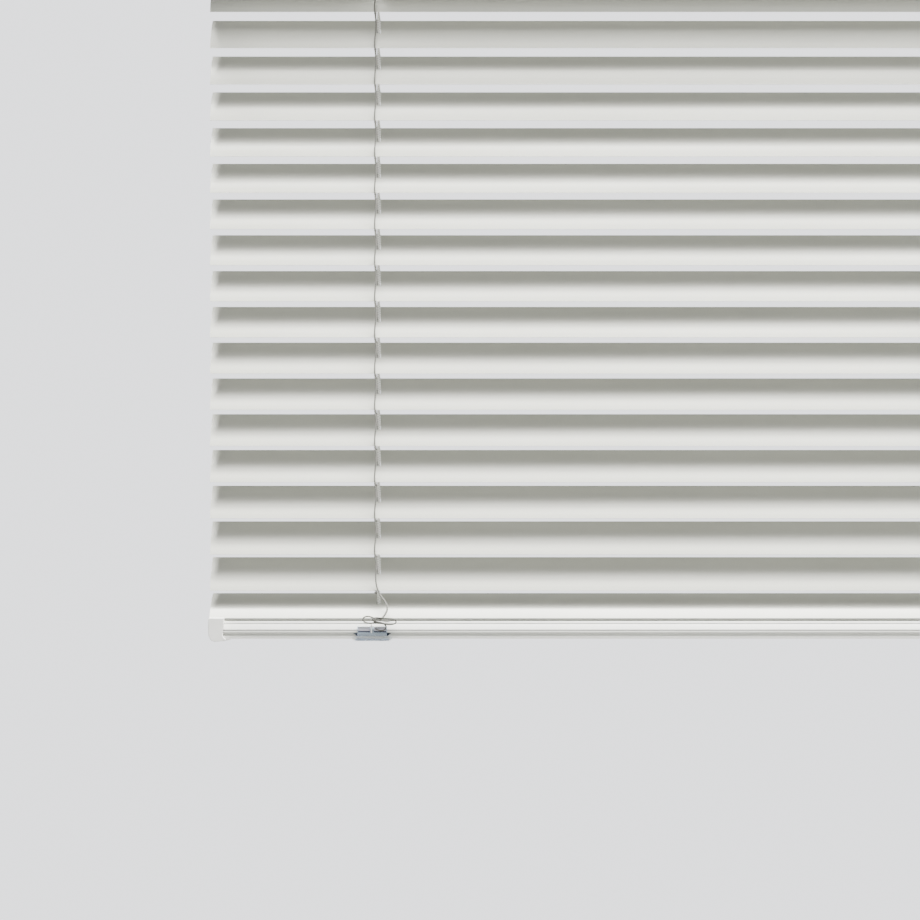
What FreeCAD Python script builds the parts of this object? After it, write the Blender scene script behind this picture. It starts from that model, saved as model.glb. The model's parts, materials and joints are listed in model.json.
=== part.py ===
import FreeCAD, Part
import math
import os
import re
from FreeCAD import Rotation, Vector

# A cordless venetian blind with 25 mm aluminium slats, hung from the ceiling of a window reveal.
# X runs along the headrail, -Y faces the room, +Z is up. The origin is the middle of the four fixing
# holes, on the top faces of the two box brackets. The slats stand tilted shut, front edges down.

SIZES = {
    # the blind as a whole
    "blind_width": 600.0,
    "slat_pitch": 21.5,
    "closed_angle": 54.0,
    # box brackets and their fixing holes
    "bracket_length": 26.0,
    "bracket_wall": 1.2,
    "bracket_gap": 0.2,
    "fixing_radius": 2.4,
    "fixing_spacing": 20.0,
    "gate_angle_room": 0.4,
    # headrail channel
    "headrail_wall": 0.8,
    "headrail_lip": 4.0,
    "headrail_margin": 4.0,
    "end_play": 0.8,
    "cap_flange": 1.2,
    "plug_depth": 8.0,
    "fit_gap": 0.1,
    # slats
    "slat_width": 25.0,
    "slat_crown": 2.2,
    "slat_sheet": 0.2,
    "slat_inset": 5.0,
    "slat_corner": 3.0,
    "slot_length": 5.0,
    "slot_width": 3.6,
    "first_slat_gap": 3.24,
    "last_slat_angle": 36.5,
    "last_slat_rise": 3.05,
    # ladders and lift cords
    "ladder_inset": 98.3,
    "ladder_gap": 0.9,
    "ladder_string": 0.8,
    "lift_cord": 1.1,
    "lift_cord_inset": 1.8,
    "cord_hole": 4.0,
    # tilt rod and what it carries
    "rod_radius": 3.0,
    "rod_gap": 0.08,
    "rocker_tip": 1.0,
    "rocker_room": 0.5,
    "rocker_length": 2.2,
    "rocker_notch": 1.1,
    "cradle_wall": 1.6,
    "cradle_gap": 1.9,
    # tilter
    "tilter_inset": 50.0,
    "gear_radius": 6.9,
    "gear_length": 5.0,
    "worm_radius": 3.2,
    "worm_gap": 0.4,
    "worm_length": 10.0,
    "worm_slant": 30.0,
    "shaft_radius": 2.0,
    "shaft_gap": 0.1,
    "neck_radius": 1.0,
    "ball_radius": 2.2,
    "ball_reach": 26.2,
    "socket_gap": 0.2,
    "socket_wall": 1.0,
    "wand_across": 7.0,
    "wand_length": 330.0,
    "wand_grip": 60.0,
    # spring motor
    "motor_length": 74.0,
    "motor_floor": 0.8,
    "motor_wall": 1.0,
    "motor_height": 8.6,
    "spool_radius": 14.0,
    "spool_tooth": 0.8,
    "spool_side_room": 1.6,
    "spool_drum": 10.0,
    "spool_pin": 3.0,
    "tooth_play": 0.4,
    # bottom rail and its plastic pieces
    "rail_height": 10.3,
    "rail_depth": 26.0,
    "rail_wall": 0.8,
    "rail_crown": 2.0,
    "rail_rest": 1.9,
    "rail_cap_length": 8.3,
    "rail_cap_rise": 1.5,
    "rail_cap_drop": 1.8,
    "clip_length": 17.6,
    "clip_ears": 24.0,
    "clip_wall": 0.8,
}

SLAT_COUNT = 18
GEAR_TEETH = 20
SPOOL_TEETH = 28

doc = FreeCAD.newDocument("VenetianBlind")
sheet = doc.addObject("Spreadsheet::Sheet", "Sizes")
for row, (alias, value) in enumerate(SIZES.items(), start=1):
    sheet.set(f"A{row}", alias.replace("_", " "))
    sheet.set(f"B{row}", str(value))
    sheet.setAlias(f"B{row}", alias)
doc.recompute()

# Formulas in the words of the spreadsheet. A slat turns about the middle of its curved sheet, where the
# lift cord goes through it. The ladder's strings stand REACH to each side of that line and DIP below
# it, level with the slat's edges, and the rockers on the tilt rod hold them in the same places, so rod,
# strings and slats tilt together.
REACH = "(slat_width / 2 + ladder_gap)"
DIP = "(slat_crown + slat_sheet / 2)"
HEADRAIL_HEIGHT = (
    f"(2 * {REACH} * sin(closed_angle) + 2 * rocker_tip + 2 * rocker_room + 2 * headrail_wall)"
)
SPOOL_ROOM = "(spool_radius + spool_tooth + motor_wall + spool_side_room)"
HEADRAIL_DEPTH = (
    f"(2 * (max({REACH} + rocker_tip + headrail_margin; {SPOOL_ROOM}) + headrail_wall))"
)
HEADRAIL_LENGTH = "(blind_width - 2 * (bracket_wall + end_play + cap_flange))"
HEADRAIL_TOP = "(-bracket_wall - bracket_gap)"
HEADRAIL_BOTTOM = f"({HEADRAIL_TOP} - {HEADRAIL_HEIGHT})"
HEADRAIL_FLOOR = f"({HEADRAIL_BOTTOM} + headrail_wall)"
FRONT_Y = f"(-{REACH} * cos(closed_angle) + {DIP} * sin(closed_angle))"
FRONT_DROP = f"({REACH} * sin(closed_angle) + {DIP} * cos(closed_angle))"
BACK_Y = f"({REACH} * cos(closed_angle) + {DIP} * sin(closed_angle))"
BACK_RISE = f"({REACH} * sin(closed_angle) - {DIP} * cos(closed_angle))"
ROD_Z = f"({HEADRAIL_FLOOR} + rocker_room + rocker_tip + {FRONT_DROP})"
SLAT_LENGTH = "(blind_width - 2 * slat_inset)"
LADDER_X = f"({SLAT_LENGTH} / 2 - ladder_inset)"
CORD_X = f"({LADDER_X} - lift_cord_inset)"
FIRST_SLAT_Z = (
    f"({HEADRAIL_BOTTOM} - first_slat_gap - slat_width / 2 * sin(closed_angle) + {DIP} * cos(closed_angle))"
)
LAST_SLAT_Z = f"({FIRST_SLAT_Z} - {SLAT_COUNT - 1} * slat_pitch + last_slat_rise)"
RAIL_TOP = (
    f"({LAST_SLAT_Z} - slat_width / 2 * sin(last_slat_angle) - {DIP} * cos(last_slat_angle) - rail_rest)"
)
RAIL_BOTTOM = f"({RAIL_TOP} - rail_height)"
TILTER_X = "(blind_width / 2 - tilter_inset)"
WORM_OFFSET = "(gear_radius + worm_radius + worm_gap)"
WORM_Y = f"(-{WORM_OFFSET} * cos(worm_slant))"
WORM_Z = f"({ROD_Z} + {WORM_OFFSET} * sin(worm_slant))"
BALL_Y = f"({WORM_Y} - ball_reach * sin(worm_slant))"
BALL_Z = f"({WORM_Z} - ball_reach * cos(worm_slant))"


def slat_z(number):
    """Where the middle of a slat hangs: the last slat rests a little higher, on the bottom rail."""
    if number == SLAT_COUNT:
        return LAST_SLAT_Z
    return f"({FIRST_SLAT_Z} - {number - 1} * slat_pitch)"


def in_sheet(formula):
    """The formula with each size written as the spreadsheet's own cell."""
    return re.sub(r"[a-z_]{4,}", lambda word: "Sizes." + word[0] if word[0] in SIZES else word[0],
                  str(formula))


def bind(thing, **formulas):
    """Each property follows its formula. An underscore pair stands for the dot in a property's path."""
    for name, formula in formulas.items():
        thing.setExpression(name.replace("__", "."), in_sheet(formula))
    return thing


def place(thing, x=0, y=0, z=0, axis=None, angle=0):
    """The thing stands at x, y, z, turned by angle degrees about axis."""
    if axis:
        thing.Placement.Rotation = Rotation(axis, 1)
        bind(thing, Placement__Rotation__Angle=angle)
    return bind(thing, Placement__Base__x=x, Placement__Base__y=y, Placement__Base__z=z)


def number(formula):
    """The value of a formula, for the few shapes that are drawn point by point."""
    probe = doc.addObject("App::FeaturePython", "Probe")
    probe.addProperty("App::PropertyFloat", "Value")
    bind(probe, Value=formula)
    probe.recompute()
    value = probe.Value
    doc.removeObject(probe.Name)
    return value


def box(x, y, z, name="Block"):
    """A block from one corner to the other: x, y and z are each a pair of formulas."""
    block = doc.addObject("Part::Box", name)
    length, width, height = [f"({high}) - ({low})" for low, high in (x, y, z)]
    bind(block, Length=length, Width=width, Height=height)
    return place(block, x[0], y[0], z[0])


def about(middle, size):
    """A pair of formulas: size wide, centred on middle."""
    return (f"({middle} - {size} / 2)", f"({middle} + {size} / 2)")


def rod(radius, start, length, along="z", name="Round"):
    """A round bar from start, length long, along an axis of the frame."""
    bar = doc.addObject("Part::Cylinder", name)
    bind(bar, Radius=radius, Height=length)
    turns = {"x": Vector(0, 1, 0), "y": Vector(-1, 0, 0)}
    if along in turns:
        return place(bar, *start, axis=turns[along], angle=90)
    return place(bar, *start)


def ball(radius, centre):
    sphere = doc.addObject("Part::Sphere", "Ball")
    bind(sphere, Radius=radius)
    return place(sphere, *centre)


def cut(base, *tools, name="Cut"):
    """The base with every tool taken out of it."""
    result = doc.addObject("Part::Cut", name)
    result.Base = base
    result.Tool = tools[0] if len(tools) == 1 else compound(*tools)
    return result


def fuse(*pieces, name="Joined"):
    result = doc.addObject("Part::MultiFuse", name)
    result.Shapes = list(pieces)
    return result


def common(first, second, name="Overlap"):
    result = doc.addObject("Part::Common", name)
    result.Base, result.Tool = first, second
    return result


def compound(*pieces, name="Group"):
    result = doc.addObject("Part::Compound", name)
    result.Links = list(pieces)
    return result


def mirrored(piece, name="Mirrored"):
    """The piece's mirror image on the blind's other side."""
    twin = doc.addObject("Part::Mirroring", name)
    twin.Source = piece
    twin.Normal = Vector(1, 0, 0)
    return twin


def drawn(outline, length, start, name="Profile"):
    """An outline of (y, z) formulas, drawn out along X by length from start."""
    corners = [Vector(0, number(y), number(z)) for y, z in outline]
    face = doc.addObject("Part::Feature", name + "Outline")
    face.Shape = Part.Face(Part.makePolygon(corners + corners[:1]))
    solid = doc.addObject("Part::Extrusion", name)
    solid.Base = face
    solid.DirMode = "Custom"
    solid.Dir = Vector(1, 0, 0)
    solid.Solid = True
    bind(solid, LengthFwd=length)
    return place(solid, start, 0, 0)


nodes = {}


def node(name, piece):
    """The piece is a sub-part of its own, and its label names its file."""
    piece.Label = name
    nodes[name] = piece
    return piece


# %% Box brackets, each with a gate that swings down from its top front edge

def bracket(side):
    """An open-fronted box of sheet steel around one end of the headrail, with two fixing holes."""
    outer = "blind_width / 2"
    inner = f"({outer} - bracket_length)"
    back = f"({HEADRAIL_DEPTH} / 2 + bracket_gap)"
    under = f"({HEADRAIL_BOTTOM} - bracket_gap)"
    wall = "bracket_wall"
    front = f"(-{HEADRAIL_DEPTH} / 2)"
    shell = [
        box((inner, outer), (front, f"{back} + {wall}"), (f"-{wall}", "0")),
        box((f"{outer} - {wall}", outer), (front, f"{back} + {wall}"), (f"{under} - {wall}", "0")),
        box((inner, outer), (back, f"{back} + {wall}"), (f"{under} - {wall}", "0")),
        box((inner, outer), (front, f"{back} + {wall}"), (f"{under} - {wall}", under)),
    ]
    ear_y, ear_z = GATE_PIN
    for x in (inner, f"({outer} - {GATE_EAR})"):
        shell.append(rod("1.6", (x, ear_y, ear_z), GATE_EAR, "x"))
        shell.append(box((x, f"{x} + {GATE_EAR}"), (ear_y, front), (f"{ear_z} - 0.6", f"{ear_z} + 1")))
    shell.append(rod("0.7", (inner, ear_y, ear_z), "bracket_length", "x"))
    middle = f"({outer} - bracket_length / 2)"
    holes = [rod("fixing_radius", (middle, y, "-2 * bracket_wall"), "4 * bracket_wall")
             for y in ("-fixing_spacing / 2", "fixing_spacing / 2")]
    solid = cut(fuse(*shell), *holes)
    return mirrored(solid) if side == "left" else solid


GATE_EAR = "3"
GATE_PIN = (f"(-{HEADRAIL_DEPTH} / 2 - 1.8)", "(-1.0 * bracket_wall)")


def gate(side):
    """The front of the bracket: a plate with a barrel around the bracket's pin and a curled toe."""
    outer = "blind_width / 2"
    ear_y, ear_z = GATE_PIN
    x = (f"({outer} - bracket_length + {GATE_EAR} + gate_angle_room)",
         f"({outer} - {GATE_EAR} - gate_angle_room)")
    face = f"(-{HEADRAIL_DEPTH} / 2 - bracket_gap)"
    toe = f"({HEADRAIL_BOTTOM} - bracket_gap)"
    barrel = rod("1.6", (x[0], ear_y, ear_z), f"{x[1]} - {x[0]}", "x")
    plate = box(x, (f"{face} - bracket_wall", face), (toe, f"{ear_z} - 0.4"))
    rib = box(x, (f"{face} - bracket_wall - 1", f"{face} - bracket_wall"), (toe, f"{toe} + 1.2"))
    bore = rod("0.8", (x[0], ear_y, ear_z), f"{x[1]} - {x[0]}", "x")
    solid = cut(fuse(barrel, plate, rib), bore)
    return mirrored(solid) if side == "left" else solid


for side in ("left", "right"):
    node(f"mounting_bracket_{side}", bracket(side))
    node(f"bracket_gate_{side}", gate(side))

# %% Headrail: a folded channel, open on top, and the caps that plug its ends

half_depth = f"({HEADRAIL_DEPTH} / 2)"
inner_half = f"({half_depth} - headrail_wall)"
lip_edge = f"({half_depth} - headrail_lip)"
half_length = f"({HEADRAIL_LENGTH} / 2)"
full = (f"-{half_length}", half_length)
channel = cut(
    box(full, (f"-{half_depth}", half_depth), (HEADRAIL_BOTTOM, HEADRAIL_TOP)),
    box((f"-{half_length} - 1", f"{half_length} + 1"), (f"-{inner_half}", inner_half),
        (HEADRAIL_FLOOR, f"{HEADRAIL_TOP} - headrail_wall")),
    box((f"-{half_length} - 1", f"{half_length} + 1"), (f"-{lip_edge}", lip_edge),
        (f"{HEADRAIL_TOP} - 2 * headrail_wall", f"{HEADRAIL_TOP} + 1")),
)
through_floor = (f"{HEADRAIL_BOTTOM} - 1", f"{HEADRAIL_FLOOR} + 3")
NEAR = f"(-{FRONT_Y} - ladder_string / 2 - 0.7)"
FAR = f"({REACH} + {DIP} / 4 + ladder_string / 2 + 0.7)"
floor_cuts = []
for sign in ("-1", "1"):
    ladder = about(f"{sign} * {LADDER_X}", "cord_hole")
    floor_cuts += [
        box(ladder, (f"-{FAR}", f"-{NEAR}"), through_floor),
        box(ladder, (NEAR, FAR), through_floor),
        box(about(f"{sign} * {CORD_X}", "cord_hole"), about("0", "cord_hole"),
            through_floor),
    ]
tilter_mouth = box(about(TILTER_X, "10"), (f"-{half_depth} - 1", f"-{half_depth} + 8"),
                   (f"{HEADRAIL_BOTTOM} - 1", f"{HEADRAIL_FLOOR} + 7.5"))
node("headrail", cut(channel, *floor_cuts, tilter_mouth))


def headrail_cap():
    """A flange over the channel's end, and a plug that fits inside it."""
    flange = box((half_length, f"{half_length} + cap_flange"), (f"-{half_depth}", half_depth),
                 (HEADRAIL_BOTTOM, HEADRAIL_TOP))
    plug_half = f"({inner_half} - fit_gap)"
    plug_z = (f"{HEADRAIL_FLOOR} + fit_gap", f"{HEADRAIL_TOP} - headrail_wall - fit_gap")
    plug = box((f"{half_length} - plug_depth", half_length), (f"-{plug_half}", plug_half), plug_z)
    hollow = box((f"{half_length} - plug_depth - 1", half_length),
                 (f"-{plug_half} + 1.2", f"{plug_half} - 1.2"),
                 (f"{plug_z[0]} + 1.2", f"{plug_z[1]} - 1.2"))
    return fuse(flange, cut(plug, hollow))


right_cap = headrail_cap()
node("headrail_caps", compound(mirrored(right_cap), right_cap))

# %% Tilt rod in its cradles, with a rocker over each ladder

rod_end = f"({LADDER_X} + rocker_length / 2 + cradle_wall + 4)"
node("tilt_rod", rod("rod_radius", (f"-{rod_end}", "0", ROD_Z), f"{rod_end} + {TILTER_X} + 8", "x"))


def cradle(sign):
    """A saddle on the headrail's floor: two cheeks that carry the rod, and a floor with three holes."""
    middle = f"({sign} * {LADDER_X})"
    inside = "(rocker_length / 2 + cradle_gap)"
    cheek_half = "(rod_radius + 3)"
    body = [box(about(middle, f"2 * ({inside} + cradle_wall)"),
                (f"-{inner_half} + 0.4", f"{inner_half} - 0.4"),
                (HEADRAIL_FLOOR, f"{HEADRAIL_FLOOR} + 0.4"))]
    for way in ("-1", "1"):
        x = about(f"({middle} + {way} * ({inside} + cradle_wall / 2))", "cradle_wall")
        body.append(box(x, (f"-{cheek_half}", cheek_half), (HEADRAIL_FLOOR, f"{ROD_Z} + rod_radius + 2.4")))
    bore = rod("rod_radius + rod_gap", (f"{middle} - 10", "0", ROD_Z), "20", "x")
    ladder = about(middle, "cord_hole")
    mouths = [
        box(ladder, (f"-{FAR}", f"-{NEAR}"), through_floor),
        box(ladder, (NEAR, FAR), through_floor),
        box(about(f"{sign} * {CORD_X}", "cord_hole + 1"), about("0", "cord_hole"),
            through_floor),
    ]
    return cut(fuse(*body), bore, *mouths)


node("drum_cradles", compound(cradle("-1"), cradle("1")))


def rocker(sign):
    """A bar clamped on the rod, with a forked tip that holds each string of the ladder."""
    middle = f"({sign} * {LADDER_X})"
    start = f"({middle} - rocker_length / 2)"
    hub = rod("rod_radius + 1.6", (start, "0", "0"), "rocker_length", "x")
    arm = box((start, f"{start} + rocker_length"), (f"-{REACH}", REACH), about(f"-{DIP}", "1.6"))
    tips = [rod("rocker_tip", (start, y, f"-{DIP}"), "rocker_length", "x") for y in (f"-{REACH}", REACH)]
    bore = rod("rod_radius", (f"{start} - 1", "0", "0"), "rocker_length + 2", "x")
    notches = [
        box(about(middle, "rocker_notch"), y, about(f"-{DIP}", "2 * rocker_tip + 1"))
        for y in ((f"-{REACH} - 2", f"-{REACH} + 2.4"), (f"{REACH} - 2.4", f"{REACH} + 2"))
    ]
    return cut(fuse(hub, arm, *tips), bore, *notches)


pair = compound(rocker("-1"), rocker("1"))
node("tilt_rockers", place(pair, 0, 0, ROD_Z, Vector(1, 0, 0), "closed_angle"))


def toothed(radius, root, teeth, play, height):
    """A flat-flanked gear about Z: teeth narrow towards their tips, with play on both flanks."""
    step = 2 * math.pi / teeth
    pitch_radius = (radius + root) / 2
    half_pitch = step / 4 - play / (2 * pitch_radius)
    corners = []
    for tooth in range(teeth):
        middle = tooth * step
        for reach, half in ((root, 1.35), (radius, 0.6), (radius, -0.6), (root, -1.35)):
            turn = middle - half * half_pitch
            corners.append(Vector(reach * math.cos(turn), reach * math.sin(turn), 0))
    wire = Part.makePolygon(corners + corners[:1])
    return Part.Face(wire).extrude(Vector(0, 0, height))


gear = doc.addObject("Part::Feature", "GearTeeth")
gear.Shape = toothed(sheet.get("gear_radius"), sheet.get("gear_radius") - 1.2, GEAR_TEETH, 0.2,
                     sheet.get("gear_length"))
place(gear, f"{TILTER_X} - gear_length / 2", 0, ROD_Z, Vector(0, 1, 0), 90)
gear_bore = rod("rod_radius", (f"{TILTER_X} - gear_length", "0", ROD_Z), "2 * gear_length", "x")
node("tilt_gear", cut(gear, gear_bore))

# %% Tilter: a worm that leans out through the rail's front corner, and the housing that carries it


def along_worm(start, length, radius):
    """A round bar on the worm's slanted axis, from start to start + length below its middle."""
    bar = doc.addObject("Part::Cylinder", "OnWorm")
    bind(bar, Radius=radius, Height=length)
    return place(bar, TILTER_X, f"{WORM_Y} - {start} * sin(worm_slant)",
                 f"{WORM_Z} - {start} * cos(worm_slant)", Vector(1, 0, 0), "180 - worm_slant")


def worm_block(start, length, half_x, half_side):
    """A block square to the worm's slanted axis."""
    block = doc.addObject("Part::Box", "WormBlock")
    bind(block, Length=f"2 * {half_x}", Width=f"2 * {half_side}", Height=length)
    return place(block, f"{TILTER_X} - {half_x}",
                 f"{WORM_Y} - {start} * sin(worm_slant) + {half_side} * cos(worm_slant)",
                 f"{WORM_Z} - {start} * cos(worm_slant) - {half_side} * sin(worm_slant)",
                 Vector(1, 0, 0), "180 - worm_slant")


node("tilter_worm", fuse(
    along_worm("(-worm_length / 2)", "worm_length", "worm_radius"),
    along_worm("0", "ball_reach - ball_radius - 1.5", "shaft_radius"),
    along_worm("0", "ball_reach", "neck_radius"),
    ball("ball_radius", (TILTER_X, BALL_Y, BALL_Z)),
))

cheek_room = "(worm_radius + 0.4)"
cheek = "1.4"
cheeks = []
for way in ("-1", "1"):
    x = about(f"({TILTER_X} + {way} * ({cheek_room} + {cheek} / 2))", cheek)
    cheeks.append(box(x, (f"-{inner_half} + fit_gap", "gear_radius + 2"),
                      (f"{HEADRAIL_FLOOR} + fit_gap", f"{ROD_Z} + gear_radius + 2")))
bearing_start = "(worm_length / 2 + 1.2)"
collar = worm_block(bearing_start, "3", f"({cheek_room} + {cheek} / 2)", "(shaft_radius + 1.6)")
foot = worm_block("11.4", "2.2", f"({cheek_room} + {cheek} / 2)", "(shaft_radius + 0.6)")
worm_bore = along_worm("0", "ball_reach", "shaft_radius + shaft_gap")
rod_bore = rod("rod_radius + rod_gap", (f"{TILTER_X} - 10", "0", ROD_Z), "20", "x")
base_strip = box(about(TILTER_X, f"2 * {cheek_room} + 0.2"), ("-4", "gear_radius + 2"),
                 (f"{HEADRAIL_FLOOR} + fit_gap", f"{HEADRAIL_FLOOR} + fit_gap + 1"))
node("tilter_housing", cut(fuse(*cheeks, collar, foot, base_strip), worm_bore, rod_bore))

# %% Wand: a socket snapped over the worm's ball, and a clear six-sided rod that turns below it

SOCKET = "(ball_radius + socket_gap)"
shell = ball(f"{SOCKET} + socket_wall", (TILTER_X, BALL_Y, BALL_Z))
mouth = box(about(TILTER_X, "20"), about(BALL_Y, "20"), (f"{BALL_Z} + 1.4", f"{BALL_Z} + 12"))
stem = rod("1.2", (TILTER_X, BALL_Y, f"{BALL_Z} - 9.4"), "6.6")
button = rod("1.9", (TILTER_X, BALL_Y, f"{BALL_Z} - 10.4"), "1")
node("wand_socket", cut(fuse(shell, stem, button), ball(SOCKET, (TILTER_X, BALL_Y, BALL_Z)), mouth))

wand_top = f"({BALL_Z} - 5.6)"
hexagon = doc.addObject("Part::Prism", "WandBar")
hexagon.Polygon = 6
bind(hexagon, Circumradius="wand_across / 2", Height="wand_length")
place(hexagon, TILTER_X, BALL_Y, f"{wand_top} - wand_length")
grip_top = doc.addObject("Part::Cone", "GripTop")
bind(grip_top, Radius1="wand_across / 2 + 1", Radius2="wand_across / 2", Height="6")
place(grip_top, TILTER_X, BALL_Y, f"{wand_top} - wand_length + wand_grip")
grip = rod("wand_across / 2 + 1", (TILTER_X, BALL_Y, f"{wand_top} - wand_length"), "wand_grip")
cavity = rod("2.1", (TILTER_X, BALL_Y, f"{BALL_Z} - 11"), "3.4")
throat = rod("1.4", (TILTER_X, BALL_Y, f"{BALL_Z} - 8"), "4")
node("tilt_wand", cut(fuse(hexagon, grip_top, grip), cavity, throat))

# %% Spring motor: a tray under the tilt rod with two geared cord spools and a power spring

motor_half = "(motor_length / 2)"
tray_half = f"({inner_half} - 0.3)"
tray_top = f"({HEADRAIL_FLOOR} + motor_height)"
tray = box(about("0", "motor_length"), (f"-{tray_half}", tray_half), (HEADRAIL_FLOOR, tray_top))
tray_hollow = box(about("0", "(motor_length - 2 * motor_wall)"),
                  (f"-{tray_half} + motor_wall", f"{tray_half} - motor_wall"),
                  (f"{HEADRAIL_FLOOR} + motor_floor", f"{tray_top} + 1"))
cord_ports = box(("-motor_length", "motor_length"), about("-spool_drum", "3"),
                 (f"{HEADRAIL_FLOOR} + 2.4", f"{tray_top} - 1.4"))
pins = [rod("spool_pin", (x, "0", HEADRAIL_FLOOR), "motor_height - 0.6")
        for x in ("-spool_radius", "spool_radius")]
spring_x = "(motor_length / 2 + 14)"
spring_post = rod("4.6", (spring_x, "0", HEADRAIL_FLOOR), "motor_height")
spring_foot = box((f"{motor_half} - motor_wall", f"{spring_x} + 9"), ("-9", "9"),
                  (HEADRAIL_FLOOR, f"{HEADRAIL_FLOOR} + motor_floor"))
node("motor_housing", fuse(cut(tray, tray_hollow, cord_ports), *pins, spring_foot, spring_post))


def spool(sign, name):
    """A toothed lower flange, a drum for the lift cord and a plain upper flange, about a pin."""
    root = sheet.get("spool_radius") - 1.1
    half_step = 0 if sign == "-1" else 180 / SPOOL_TEETH
    teeth = doc.addObject("Part::Feature", name + "Teeth")
    teeth.Shape = toothed(sheet.get("spool_radius") + sheet.get("spool_tooth"), root, SPOOL_TEETH,
                          sheet.get("tooth_play"), 1.6)
    place(teeth, 0, 0, 0, Vector(0, 0, 1), half_step)
    drum = rod("spool_drum", ("0", "0", "0"), "5.6")
    flange = rod("spool_drum + 2.4", ("0", "0", "5"), "1")
    bore = rod("spool_pin + 0.1", ("0", "0", "-1"), "10")
    turned = cut(fuse(teeth, drum, flange), bore)
    return place(turned, f"{sign} * spool_radius", 0, f"{HEADRAIL_FLOOR} + motor_floor + 0.3")


node("cord_spool_left", spool("-1", "LeftSpool"))
node("cord_spool_right", spool("1", "RightSpool"))

coil = cut(rod("9", (spring_x, "0", f"{HEADRAIL_FLOOR} + 1"), "6"),
           rod("5.4", (spring_x, "0", f"{HEADRAIL_FLOOR} + 0.5"), "7"))
strip = box((motor_half, spring_x), ("8.4", "9"), (f"{HEADRAIL_FLOOR} + 1", f"{HEADRAIL_FLOOR} + 7"))
node("power_spring", fuse(coil, strip))

# %% Slats: curved strips with round corners and a slot for each lift cord

crown_radius = "((slat_width / 2) ^ 2 + slat_crown ^ 2) / (2 * slat_crown)"
strip_half = f"({SLAT_LENGTH} / 2)"
curve_start = (f"-{strip_half} - 1", "0", f"-slat_sheet / 2 - {crown_radius}")
curve_length = f"{SLAT_LENGTH} + 2"
skin = cut(rod(f"{crown_radius} + slat_sheet", curve_start, curve_length, "x"),
           rod(crown_radius, curve_start, curve_length, "x"))
blank = box((f"-{strip_half}", strip_half), about("0", "slat_width"), ("-2 * slat_crown", "1"))
rounded = doc.addObject("Part::Fillet", "RoundEnds")
rounded.Base = blank
doc.recompute()
corner = sheet.get("slat_corner")
upright = [index for index, edge in enumerate(blank.Shape.Edges, start=1)
           if abs(edge.tangentAt(edge.FirstParameter).z) > 0.9]
rounded.Edges = [(index, corner, corner) for index in upright]
whole_slat = common(skin, rounded, "WholeSlat")
slots = compound(*[
    box(about(f"{sign} * {CORD_X}", "slot_length"), about("0", "slot_width"), ("-2 * slat_crown", "1"))
    for sign in ("-1", "1")
])
for count in range(1, SLAT_COUNT + 1):
    angle = "last_slat_angle" if count == SLAT_COUNT else "closed_angle"
    slat = cut(whole_slat, slots, name=f"Slat{count}")
    place(slat, 0, 0, slat_z(count), Vector(1, 0, 0), angle)
    node(f"slat_{count:02d}", slat)

# %% Lift cords: one length in the headrail, one for each bay between slats, one down to the rail

def cord_pair(name, top, bottom):
    """The left and right lift cord between two heights."""
    return compound(*[
        rod("lift_cord / 2", (f"{sign} * {CORD_X}", "0", bottom), f"{top} - {bottom}")
        for sign in ("-1", "1")
    ], name=name)


cord_height = f"({HEADRAIL_FLOOR} + 4.6)"
upper = []
for sign in ("-1", "1"):
    across = f"({CORD_X} - spool_radius)"
    start = "spool_radius" if sign == "1" else f"-{CORD_X}"
    upper.append(fuse(
        rod("lift_cord / 2", (start, "-spool_drum - lift_cord / 2 - 0.1", cord_height), across, "x"),
        rod("lift_cord / 2", (f"{sign} * {CORD_X}", "-spool_drum - lift_cord", cord_height),
            "spool_drum + lift_cord", "y"),
        rod("lift_cord / 2", (f"{sign} * {CORD_X}", "0", slat_z(1)),
            f"{cord_height} - {slat_z(1)}"),
    ))
node("lift_cord_top", compound(*upper))
for count in range(2, SLAT_COUNT):
    node(f"lift_cord_bay_{count:02d}", cord_pair(f"Bay{count}", slat_z(count - 1), slat_z(count)))
node("lift_cord_bottom", cord_pair("LowestBay", slat_z(SLAT_COUNT - 1), f"({RAIL_TOP} - rail_wall - 2)"))

# %% Ladders: the front and back strings, from the rockers' tips to the lowest hanging slat

last_hung = slat_z(SLAT_COUNT - 1)
for face, y, rise in (("front", FRONT_Y, f"-{FRONT_DROP}"), ("back", BACK_Y, BACK_RISE)):
    strings = [
        rod("ladder_string / 2", (f"{way} * {LADDER_X}", y, f"{last_hung} + {rise}"),
            f"{ROD_Z} - {last_hung}")
        for way in ("-1", "1")
    ]
    node(f"ladder_{face}_strings", compound(*strings))

# %% Bottom rail: a hollow rolled section, with a cap on each end and a clear clip over each ladder

rail_end = f"({SLAT_LENGTH} / 2 - rail_cap_length + 0.5)"
half_rail = "(rail_depth / 2)"


def down(share):
    """A height on the rail's face, as a share of the rail's height below its top."""
    return f"({RAIL_TOP} - {share} * rail_height)"


FACE = [(2.4, 0.0), (0.9, 0.06), (0.5, 0.2), (0.0, 0.28), (0.0, 0.49), (0.8, 0.51), (0.8, 0.59),
        (0.1, 0.61), (0.1, 0.67), (0.5, 0.7), (1.9, 0.9), (1.5, 0.93), (1.5, 1.0)]
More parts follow.
